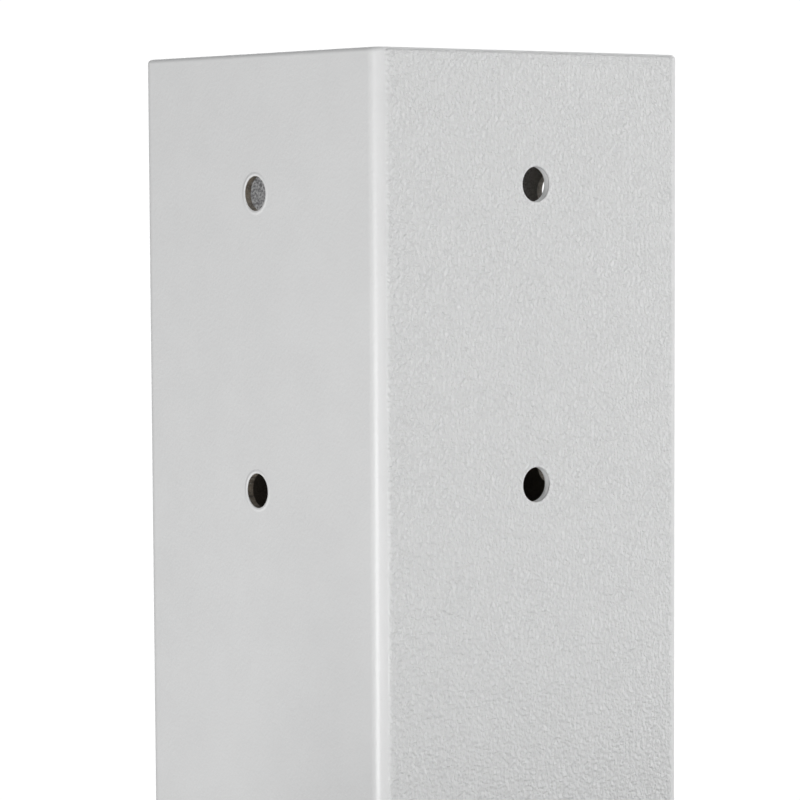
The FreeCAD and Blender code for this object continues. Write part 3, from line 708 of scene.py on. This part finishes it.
class SIGNPOST_OT_post(bpy.types.Operator):
    """Make the square tube with its rounded rim and drilled holes"""
    bl_idname = "signpost.post"
    bl_label = "Post"

    def execute(self, context):
        coat, _ = settings()
        post = block("post", POST_LOW, POST_HIGH)
        delete_faces(post, facing("Z"))
        round_edges(post, along("Z"), coat.corner, 12)
        modify(post, "SOLIDIFY", thickness=coat.wall, offset=-1, use_even_offset=True)
        round_edges(post, rim_edges(1), coat.rim_round, 6)
        round_edges(post, rim_edges(-1), coat.rim_round * 0.4, 3)
        through = 3 * HALF_POST
        drills = []
        for height in FRONT_HOLES + tuple(BOLT_HEIGHTS.values()):
            drills.append(drum("drill", HOLE_RADIUS, (0, -through / 2, height), through, "Y", 72))
        for height in SIDE_HOLES:
            drills.append(drum("drill", HOLE_RADIUS, (-through / 2, 0, height), through, "X", 72))
        combine(post, join(drills, "drills"))
        soften(post, coat.hole_round, 2, 50)
        finish_piece(post, "post_coat", "powder_coat tube_inside hole_wall", "post_tube")
        for face in post.data.polygons:
            face.material_index = self.pick_finish(face.center, coat.wall)
        return {"FINISHED"}

    def pick_finish(self, spot, wall):
        """0 for the coat outside, 1 for the bare inside, 2 for drilled walls but the front's: dark
        bare steel that is also painted shade, while the lit front bores keep the coat.
        """
        across, out = sorted((abs(spot.x), abs(spot.y)))
        inner, outer = HALF_POST - wall * 0.9, HALF_POST - wall * 0.2
        if out < inner:
            return 1
        drilled = out < outer and across < HOLE_RADIUS and RIM - spot.z > HOLE_RADIUS
        return 2 if drilled and spot.y > -inner else 0


def rounded_block(name, low, high, axis, radius, segments=8):
    """A plate whose four corners along an axis are rounded."""
    piece = block(name, low, high)
    round_edges(piece, along(axis), radius, segments)
    return piece


class SIGNPOST_OT_base(bpy.types.Operator):
    """Make the base plate with its anchor holes and drain"""
    bl_idname = "signpost.base"
    bl_label = "Base plate"

    def execute(self, context):
        corner, drain, anchor, reach = 0.015, 0.015, 0.007, 0.08
        plate = rounded_block("base_plate_coated", PLATE_LOW, PLATE_HIGH, "Z", corner, 10)
        thick = PLATE_HIGH.z - PLATE_LOW.z
        drills = [drum("drain", drain, (0, 0, -thick), 3 * thick, "Z")]
        for x in (-reach, reach):
            for y in (-reach, reach):
                drills.append(drum("anchor", anchor, (x, y, -thick), 3 * thick, "Z"))
        combine(plate, join(drills, "drills"))
        soften(plate, 0.0009, 3)
        finish_piece(plate, "base_coat", "powder_coat_base", "base_plate")
        return {"FINISHED"}


class SIGNPOST_OT_gussets(bpy.types.Operator):
    """Make the four ribs between post and plate"""
    bl_idname = "signpost.gussets"
    bl_label = "Gussets"

    def execute(self, context):
        low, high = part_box("gusset_front")
        nose, snipe = 0.014, 0.010
        rib = block("rib_front", low, high)
        top = Vector((0, high.y - nose, high.z))
        toe = Vector((0, low.y, low.z + nose))
        run = top - toe
        slice_off(rib, toe, (0, -run.z, run.y))
        slice_off(rib, (0, high.y, low.z + snipe), (0, 1, -1))
        soften(rib, 0.0006, 3)
        ribs = {"front": rib}
        for k, where in enumerate(("right", "back", "left"), 1):
            ribs[where] = copied(rib, "rib_" + where, turn=k * QUARTER)
        for where, piece in ribs.items():
            finish_piece(piece, "base_coat", "powder_coat_base", "gusset_" + where)
        return {"FINISHED"}


def weld_scale(name, leg, step):
    """One ripple of a weld bead along X: a squashed ball, cut off behind and below its corner."""
    deselect()
    bpy.ops.mesh.primitive_uv_sphere_add(
        segments=16, ring_count=10, radius=1, scale=(step * 1.35, leg, leg))
    scale = named(name)
    slice_off(scale, (0, 0, 0), (0, 0, -1))
    slice_off(scale, (0, 0, 0), (0, 1, 0))
    return scale


def straight_bead(name, leg, length):
    """A straight rippled bead along +X from the origin, its corner on the X axis."""
    step, end, start = leg * 0.42, leg * 0.56, leg * 0.57
    bead = weld_scale(name, leg, step)
    count = int((length - 2 * end) / step) + 1
    modify(bead, "ARRAY", count=count, use_relative_offset=False, use_constant_offset=True,
           constant_offset_displace=(step, 0, 0))
    bead.data.transform(Matrix.Translation((start, 0, 0)))
    return bead


class SIGNPOST_OT_welds(bpy.types.Operator):
    """Lay the rippled weld beads round the post's foot and along the ribs"""
    bl_idname = "signpost.welds"
    bl_label = "Welds"

    def execute(self, context):
        self.lay_foot_bead()
        self.lay_rib_beads()
        return {"FINISHED"}

    def lay_foot_bead(self):
        coat, _ = settings()
        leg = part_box("base_weld")[1].z - PLATE_TOP
        half = HALF_POST - coat.corner
        step = leg * 0.36
        scale = weld_scale("foot_bead", leg * 0.98, step)
        ripples = []
        side_count = int(2 * half / step)
        corner_count = 5
        for quarter in range(4):
            for k in range(side_count):
                run = -half + 2 * half * k / side_count
                shift = Matrix.Translation((run, -HALF_POST, PLATE_TOP))
                ripples.append(Matrix.Rotation(quarter * QUARTER, 4, "Z") @ shift)
            for k in range(corner_count):
                turn = QUARTER * k / corner_count
                shift = Matrix.Translation((half, -half, PLATE_TOP)) @ Matrix.Rotation(turn, 4, "Z")
                shift = shift @ Matrix.Translation((0, -coat.corner, 0))
                ripples.append(Matrix.Rotation(quarter * QUARTER, 4, "Z") @ shift)
        copies = []
        for matrix in ripples:
            other = copied(scale, "ripple")
            other.data.transform(matrix)
            copies.append(other)
        bpy.data.objects.remove(scale)
        bead = join(copies, "foot_weld")
        finish_piece(bead, "base_coat", "powder_coat_base", "base_weld", crease=60)

    def lay_rib_beads(self):
        low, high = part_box("gusset_front")
        leg, inset, snipe = 0.004, 0.003, 0.010
        half = high.x
        upright = straight_bead("upright", leg, high.z - low.z - snipe - 2 * inset)
        upright.data.transform(Matrix.Rotation(-QUARTER, 4, "Y"))
        upright.data.transform(Matrix.Rotation(QUARTER, 4, "Z"))
        foot = straight_bead("toe", leg, high.y - low.y - snipe - 2 * inset)
        foot.data.transform(Matrix.Rotation(-QUARTER, 4, "Z"))
        pairs = []
        for bead, start in ((upright, (half, high.y, low.z + snipe + inset)),
                            (foot, (half, high.y - snipe - inset, low.z))):
            self.face_outwards(bead)
            bead.data.transform(Matrix.Translation(start))
            pairs += [bead, copied(bead, bead.name + "_other", mirror=True)]
        front = join(pairs, "rib_beads")
        others = [copied(front, "rib_beads_copy", turn=k * QUARTER) for k in (1, 2, 3)]
        beads = join([front] + others, "rib_welds")
        finish_piece(beads, "base_coat", "powder_coat_base", "gusset_welds", crease=60)

    def face_outwards(self, bead):
        """Mirror a bead until its round side looks forwards, up and away from the rib."""
        lows = Vector(map(min, zip(*(v.co for v in bead.data.vertices))))
        highs = Vector(map(max, zip(*(v.co for v in bead.data.vertices))))
        middle, size = (lows + highs) / 2, highs - lows
        run = max(range(3), key=lambda k: size[k])
        flip = [1, 1, 1]
        for k, wanted in enumerate((1, -1, 1)):
            if k != run and middle[k] * wanted < 0:
                flip[k] = -1
        bead.data.transform(Matrix.Diagonal((*flip, 1)))
        turn_outwards(bead)


class SIGNPOST_OT_sign(bpy.types.Operator):
    """Finish the aluminium panel and its reflective films"""
    bl_idname = "signpost.sign"
    bl_label = "Sign face"

    def execute(self, context):
        looks = {
            "sign_panel": "panel_mill",
            "face_film": "sheeting_ground",
            "border_film": "sheeting_symbol",
            "arrow_film": "sheeting_symbol",
        }
        for node, name in looks.items():
            for slot in frame["nodes"][node].material_slots:
                slot.material = bpy.data.materials[name]
        return {"FINISHED"}


class SIGNPOST_OT_trim(bpy.types.Operator):
    """Bend the U trim round the panel and clip its joint"""
    bl_idname = "signpost.trim"
    bl_label = "Edge trim"

    def execute(self, context):
        low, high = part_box("edge_trim")
        wall, leg, radius, half_gap = 0.0012, 0.009, 0.040, 0.0005
        trim = rounded_block("panel_trim", low, high, "Y", radius + wall, 14)
        inset_faces(trim, facing("Y"), leg + wall, delete=True)
        modify(trim, "SOLIDIFY", thickness=wall, offset=-1, use_even_offset=True)
        joint = block("joint", (-half_gap, 2 * low.y, low.z - leg), (half_gap, 0, low.z + 2 * leg))
        combine(trim, joint)
        soften(trim, 0.00035, 3)
        finish_piece(trim, "trim_aluminium", "trim_satin", "edge_trim")
        self.clip_joint()
        return {"FINISHED"}

    def clip_joint(self):
        low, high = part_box("trim_joiner")
        clip = block("joint_clip", low, high)
        delete_faces(clip, lambda face: face.normal.z > 0.9 or abs(face.normal.x) > 0.9)
        modify(clip, "SOLIDIFY", thickness=0.001, offset=-1, use_even_offset=True)
        soften(clip, 0.0003, 3)
        finish_piece(clip, "trim_aluminium", "trim_satin", "trim_joiner")
        low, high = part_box("joiner_rivets")
        height = (low.z + high.z) / 2
        head, pin, dome = 0.003, 0.0016, 0.001
        front_seat = (low.x + head, low.y + dome, height)
        back_seat = (low.x + head, high.y - dome, height)
        rivet = join([
            drum("pin", pin, front_seat, high.y - low.y - 2 * dome, "Y", 20),
            domed_head("front_head", head, dome, front_seat, -1),
            domed_head("back_head", head, dome, back_seat, 1)], "joint_rivet")
        other = copied(rivet, "joint_rivet_other", move=(high.x - low.x - 2 * head, 0, 0))
        rivets = join([rivet, other], "joint_rivets")
        finish_piece(rivets, "rivet_aluminium", "rivet_bright", "joiner_rivets")


def domed_head(name, radius, dome, seat, way):
    """A rivet's round head on a seat, domed forwards (-1) or backwards (1), with a small dimple."""
    start = Vector(seat) if way > 0 else Vector(seat) - Vector((0, dome, 0))
    head = drum(name, radius, start, dome, "Y", 28)
    outer, dimple, sunk = facing("Y", way), radius * 0.3, dome * 0.3
    inset_faces(head, outer, radius - dimple)

    def middle(face):
        return outer(face) and far_from(face.calc_center_median(), seat) < radius * 0.1
    select_in_edit(head, "FACE", middle)
    bpy.ops.transform.translate(value=(0, -way * sunk, 0))
    leave_edit()
    on_rim = at_depth(start.y + (dome if way > 0 else 0))

    def crown(edge):
        return on_rim(edge) and all(far_from(v.co, seat) > radius * 0.9 for v in edge.verts)
    round_edges(head, crown, dome * 0.85, 5)
    return head


def far_from(point, seat):
    """Distance of a point from a line along Y through a seat."""
    return math.hypot(point.x - seat[0], point.z - seat[2])


class SIGNPOST_OT_rails(bpy.types.Operator):
    """Finish the two rails with their rivets and end caps"""
    bl_idname = "signpost.rails"
    bl_label = "Rails"

    def execute(self, context):
        rail = from_node("upper_rail", "upper_rail_extrusion")
        soften(rail, 0.0003, 2, 50)
        other = copied(rail, "lower_rail_extrusion", move=(0, 0, DROP))
        finish_piece(rail, "rail_aluminium", "rail_extruded", "upper_rail")
        finish_piece(other, "rail_aluminium", "rail_extruded", "lower_rail")
        self.set_rivets()
        self.plug_ends()
        return {"FINISHED"}

    def set_rivets(self):
        """One countersunk rivet, copied along both edges of both rails."""
        low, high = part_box("upper_rail_rivets")
        tail, pin, dome, sink, per_row = 0.0042, 0.0024, 0.002, 0.0018, 4
        seat = Vector((low.x + tail, high.y - dome, low.z + tail))
        pin_start = (seat.x, low.y + sink, seat.z)
        rivet = join([
            domed_head("tail", tail, dome, seat, 1),
            drum("pin", pin, pin_start, seat.y - low.y - sink, "Y", 20),
            self.sunk_head((seat.x, low.y, seat.z), tail, sink)], "rivet")
        step = (high.x - low.x - 2 * tail) / (per_row - 1)
        rise = high.z - low.z - 2 * tail
        rivets = [rivet]
        for k in range(1, per_row):
            rivets.append(copied(rivet, "rivet", move=(step * k, 0, 0)))
        rivets += [copied(low_rivet, "rivet", move=(0, 0, rise)) for low_rivet in rivets]
        upper = join(rivets, "upper_set_rivets")
        lower = copied(upper, "lower_set_rivets", move=(0, 0, DROP))
        finish_piece(upper, "rivet_aluminium", "rivet_bright", "upper_rail_rivets")
        finish_piece(lower, "rivet_aluminium", "rivet_bright", "lower_rail_rivets")

    def sunk_head(self, seat, radius, deep):
        """A countersunk head: wide at the panel's front, narrowing to the pin."""
        deselect()
        bpy.ops.mesh.primitive_cone_add(
            vertices=28, radius1=radius, radius2=radius - deep, depth=deep,
            location=(seat[0], seat[1] + deep / 2, seat[2]), rotation=(-QUARTER, 0, 0))
        return named("sunk_head")

    def plug_ends(self):
        """One end cap, mirrored to the left and copied to the lower rail."""
        cap = self.mould_cap("upper_rail_cap_right")
        caps = {
            "upper_rail_cap_left": copied(cap, "cap", mirror=True),
            "lower_rail_cap_left": copied(cap, "cap", move=(0, 0, DROP), mirror=True),
            "lower_rail_cap_right": copied(cap, "cap", move=(0, 0, DROP)),
            "upper_rail_cap_right": cap,
        }
        for node, piece in caps.items():
            piece.name = node + "_moulded"
            finish_piece(piece, "black_plastic", "cap_plastic", node)

    def mould_cap(self, node):
        """A plate with a shallow recess outside, and a plug that goes into the rail."""
        low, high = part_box(node)
        thick, border, corner, edge = 0.0025, 0.001, 0.0012, 0.0003
        side_gap, front_gap, back_gap = 0.0026, 0.00026, 0.0034
        inner = high.x - thick
        plate = block("plate", (inner, low.y, low.z), high)
        round_edges(plate, along("X"), corner, 4)
        soften(plate, edge, 2)
        select_in_edit(plate, "FACE", facing("X", 1))
        bpy.ops.mesh.inset(thickness=border - edge, depth=0)
        bpy.ops.mesh.inset(thickness=edge / 2, depth=0)
        bpy.ops.transform.translate(value=(-edge * 2, 0, 0))
        leave_edit()
        plug = block("plug", (low.x, low.y + front_gap, low.z + side_gap),
                     (inner, high.y - back_gap, high.z - side_gap))
        soften(plug, edge * 2, 2)
        return join([plate, plug], "cap")


def ring_shape(name, outer, inner, start, length):
    """A flat ring or tube along Y, made by thickening an open drum inwards."""
    ring = drum(name, outer, start, length, "Y", sides=56, fill="NOTHING")
    modify(ring, "SOLIDIFY", thickness=outer - inner, offset=-1, use_even_offset=True)
    return ring


class SIGNPOST_OT_fixings(bpy.types.Operator):
    """Make the bolts, washers, lock nuts, nylon rings and rubber pads"""
    bl_idname = "signpost.fixings"
    bl_label = "Fixings"
    line = BOLT_HEIGHTS["upper"]

    def execute(self, context):
        makers = {
            "bolt": (self.make_bolt, "zinc_steel", "zinc_plate"),
            "washer": (self.make_washer, "zinc_steel", "zinc_plate"),
            "lock_nut": (self.make_nut, "zinc_steel", "zinc_plate"),
            "nut_insert": (self.make_insert, "nylon", "nut_nylon"),
            "post_pad": (self.make_pad, "pad_rubber", "rubber_sheet"),
        }
        for kind, (maker, slot, look) in makers.items():
            piece = maker("upper_" + kind)
            piece.name = "upper_%s_finished" % kind
            other = copied(piece, "lower_%s_finished" % kind, move=(0, 0, DROP))
            finish_piece(piece, slot, look, "upper_" + kind)
            finish_piece(other, slot, look, "lower_" + kind)
        return {"FINISHED"}

    def make_bolt(self, node):
        low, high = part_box(node)
        z = self.line
        head, pitch, depth, chamfer, thread_before = 0.0053, 0.00125, 0.0006, 0.001, 0.010
        prism = drum("head", (high.x - low.x) / 2, (0, low.y, z), head, "Y", 6)
        prism.data.transform(self.flats_upright())
        soften(prism, 0.0003, 2)
        thread_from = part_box("upper_washer")[0].y - thread_before
        plain = thread_from - low.y - head
        shank = drum("shank", BOLT_RADIUS, (0, low.y + head, z), plain, "Y", 40)
        core = drum("core", BOLT_RADIUS - depth, (0, thread_from, z), high.y - thread_from, "Y", 40)
        round_edges(core, at_depth(high.y), chamfer * 0.6, 3)
        turns = int((high.y - chamfer - thread_from) / pitch)
        deselect()
        bpy.ops.mesh.primitive_circle_add(
            vertices=3, radius=pitch * 0.56, fill_type="NGON",
            location=(0, thread_from + pitch * 0.5, 0))
        tooth = bpy.context.object
        tooth.data.transform(Matrix.Rotation(QUARTER, 4, "Z"))
        bpy.ops.object.transform_apply(location=True, rotation=True, scale=True)
        widest = max(v.co.x for v in tooth.data.vertices)
        tooth.data.transform(Matrix.Translation((BOLT_RADIUS - widest, 0, 0)))
        modify(tooth, "SCREW", axis="Y", angle=2 * math.pi * turns, screw_offset=pitch * turns,
               steps=28 * turns, render_steps=28 * turns, use_merge_vertices=False)
        tooth.data.transform(Matrix.Translation((0, 0, z)))
        edit_all(tooth)
        bpy.ops.mesh.remove_doubles(threshold=1e-7)
        bpy.ops.mesh.normals_make_consistent(inside=False)
        leave_edit()
        return join([prism, shank, core, tooth], node + "_threaded")

    def flats_upright(self):
        """A turn about the bolt's own line that leaves a hexagon's flats at the sides.

        A known fault: the CAD's flats lie above and below, which takes QUARTER / 3.
        """
        there = Matrix.Translation((0, 0, self.line))
        return there @ Matrix.Rotation(QUARTER / 3 + QUARTER, 4, "Y") @ there.inverted()

    def make_washer(self, node):
        low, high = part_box(node)
        z = self.line
        washer = ring_shape("washer", high.x, BOLT_RADIUS + 0.0002, (0, low.y, z), high.y - low.y)
        soften(washer, 0.0003, 2)
        return washer

    def make_nut(self, node):
        low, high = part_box(node)
        z = self.line
        corner = (high.x - low.x) / 2
        hex_high, collar, insert, sunk = 0.0068, 0.0058, 0.005, 0.0018
        prism = drum("prism", corner, (0, low.y, z), hex_high, "Y", 6)
        prism.data.transform(self.flats_upright())
        barrel = drum("barrel", corner - 0.00005, (0, low.y, z), hex_high, "Y", 64)
        round_edges(barrel, across_run, 0.0009, 2)
        combine(prism, barrel, "INTERSECT")
        ring = drum("collar", collar, (0, low.y + 0.001, z), high.y - low.y - 0.001, "Y", 64)
        round_edges(ring, at_depth(high.y), 0.0006, 3)
        combine(prism, ring, "UNION")
        combine(prism, drum("bore", BOLT_RADIUS, (0, low.y - 0.01, z), 0.04, "Y", 56))
        combine(prism, drum("recess", insert, (0, high.y - sunk, z), 0.01, "Y", 56))
        return prism

    def make_insert(self, node):
        low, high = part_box(node)
        ring = ring_shape("insert", high.x, BOLT_RADIUS, (0, low.y, self.line), high.y - low.y)
        soften(ring, 0.0002, 2)
        return ring

    def make_pad(self, node):
        low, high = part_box(node)
        pad = rounded_block("pad", low, high, "Y", 0.004, 6)
        combine(pad, drum("bore", HOLE_RADIUS, (0, 2 * low.y, self.line), -low.y * 2, "Y"))
        soften(pad, 0.0003, 2)
        return pad


class SIGNPOST_OT_stage(bpy.types.Operator):
    """Set up the floor, the light and the camera"""
    bl_idname = "signpost.stage"
    bl_label = "Stage"

    def execute(self, context):
        stage = context.scene.signpost_stage
        self.lay_floor(stage)
        self.set_world(stage)
        self.hang_lights()
        self.place_camera(stage)
        return {"FINISHED"}

    def lay_floor(self, stage):
        deselect()
        bpy.ops.mesh.primitive_circle_add(vertices=96, radius=stage.floor_radius, fill_type="NGON")
        floor = named("floor")
        w, shader, place = material("pale_floor")
        spots = w.add("ShaderNodeVectorMath", {0: place}, operation="LENGTH").outputs["Value"]
        fade = w.spread(spots, stage.floor_radius * 0.3, stage.floor_radius * 0.98, 1.0, 0.0)
        feed(w, shader, Base_Color=(0.92, 0.92, 0.92, 1), Roughness=0.75, Alpha=fade)
        feed(w, shader, Emission_Color=(1, 1, 1, 1), Emission_Strength=0.3)
        floor.data.materials.append(bpy.data.materials["pale_floor"])

    def set_world(self, stage):
        world = bpy.data.worlds.new("white_studio")
        bpy.context.scene.world = world
        world.use_nodes = True
        world.node_tree.nodes.clear()
        w = Tree(world.node_tree)
        seen = w.add("ShaderNodeBackground", {"Color": (1, 1, 1, 1), "Strength": 1.05})
        tint = {"Color": (0.97, 0.985, 1, 1), "Strength": stage.ambient}
        light = w.add("ShaderNodeBackground", tint)
        path = w.add("ShaderNodeLightPath").outputs["Is Camera Ray"]
        mixed = w.add("ShaderNodeMixShader", {0: path, 1: light.outputs[0], 2: seen.outputs[0]})
        w.add("ShaderNodeOutputWorld", {"Surface": mixed.outputs[0]})
        bpy.context.scene.view_settings.view_transform = "Standard"

    def hang_lights(self):
        """Soft boxes: name, azimuth in degrees, height, distance, width, tall, power in watts."""
        boxes = (
            ("left_box", -78, 1.35, 1.5, 0.6, 1.5, 17.2),
            ("right_box", -12, 1.3, 1.4, 0.5, 1.6, 3.6),
            ("middle_box", -42, 1.5, 1.6, 0.7, 1.6, 3.2),
            ("high_box", 28, 3.0, 1.0, 0.7, 0.7, 4.2),
            ("back_box", 140, 2.3, 2.6, 2.2, 2.2, 22),
            ("top_box", 60, 3.6, 0.9, 1.6, 1.6, 8),
            ("graze_box", 76, 1.9, 1.5, 0.4, 1.4, 8),
        )
        for name, azimuth, height, distance, wide, tall, power in boxes:
            data = bpy.data.lights.new(name, "AREA")
            data.shape = "RECTANGLE"
            data.size, data.size_y, data.energy = wide, tall, power
            lamp = bpy.data.objects.new(name, data)
            bpy.context.scene.collection.objects.link(lamp)
            angle = math.radians(azimuth)
            lamp.location = (math.sin(angle) * distance, -math.cos(angle) * distance, height)
            aim = Vector((0, 0, min(height, RIM * 0.85))) - lamp.location
            lamp.rotation_euler = aim.to_track_quat("-Z", "Y").to_euler()
            lamp.visible_camera = False

    def place_camera(self, stage):
        data = bpy.data.cameras.new("camera")
        data.lens, data.sensor_width = stage.lens, 36
        data.clip_start, data.clip_end = 0.02, 60
        camera = bpy.data.objects.new("camera", data)
        bpy.context.scene.collection.objects.link(camera)
        turn = Matrix.Rotation(-stage.heading, 3, "Z") @ Matrix.Rotation(stage.pitch, 3, "X")
        turn = turn @ Matrix.Rotation(stage.roll, 3, "Y") @ Matrix.Rotation(QUARTER, 3, "X")
        camera.location = (
            math.sin(stage.azimuth) * stage.distance,
            -math.cos(stage.azimuth) * stage.distance,
            RIM - stage.below_rim)
        camera.rotation_euler = turn.to_euler()
        bpy.context.scene.camera = camera


class SIGNPOST_PT_panel(bpy.types.Panel):
    """Lists the signpost's operators and settings"""
    bl_label = "Signpost"
    bl_idname = "SIGNPOST_PT_panel"
    bl_space_type = "VIEW_3D"
    bl_region_type = "UI"
    bl_category = "Signpost"

    def draw(self, context):
        for operator in OPERATORS:
            self.layout.operator(operator.bl_idname)
        for name in GROUPS:
            group = getattr(context.scene, name)
            for key in group.bl_rna.properties.keys():
                if key not in ("rna_type", "name"):
                    self.layout.prop(group, key)


GROUPS = {
    "signpost_coat": SignpostCoat,
    "signpost_sign": SignpostSign,
    "signpost_stage": SignpostStage,
}
OPERATORS = (
    SIGNPOST_OT_materials,
    SIGNPOST_OT_post,
    SIGNPOST_OT_base,
    SIGNPOST_OT_gussets,
    SIGNPOST_OT_welds,
    SIGNPOST_OT_sign,
    SIGNPOST_OT_trim,
    SIGNPOST_OT_rails,
    SIGNPOST_OT_fixings,
    SIGNPOST_OT_stage,
)


def register():
    for group in GROUPS.values():
        bpy.utils.register_class(group)
    for operator in OPERATORS:
        bpy.utils.register_class(operator)
    bpy.utils.register_class(SIGNPOST_PT_panel)
    for name, group in GROUPS.items():
        setattr(bpy.types.Scene, name, bpy.props.PointerProperty(type=group))


def unregister():
    for name in GROUPS:
        delattr(bpy.types.Scene, name)
    bpy.utils.unregister_class(SIGNPOST_PT_panel)
    for operator in reversed(OPERATORS):
        bpy.utils.unregister_class(operator)
    for group in reversed(GROUPS.values()):
        bpy.utils.unregister_class(group)


def main():
    register()
    for operator in OPERATORS:
        group, name = operator.bl_idname.split(".")
        getattr(getattr(bpy.ops, group), name)()
    deselect()


if __name__ == "__main__":
    main()
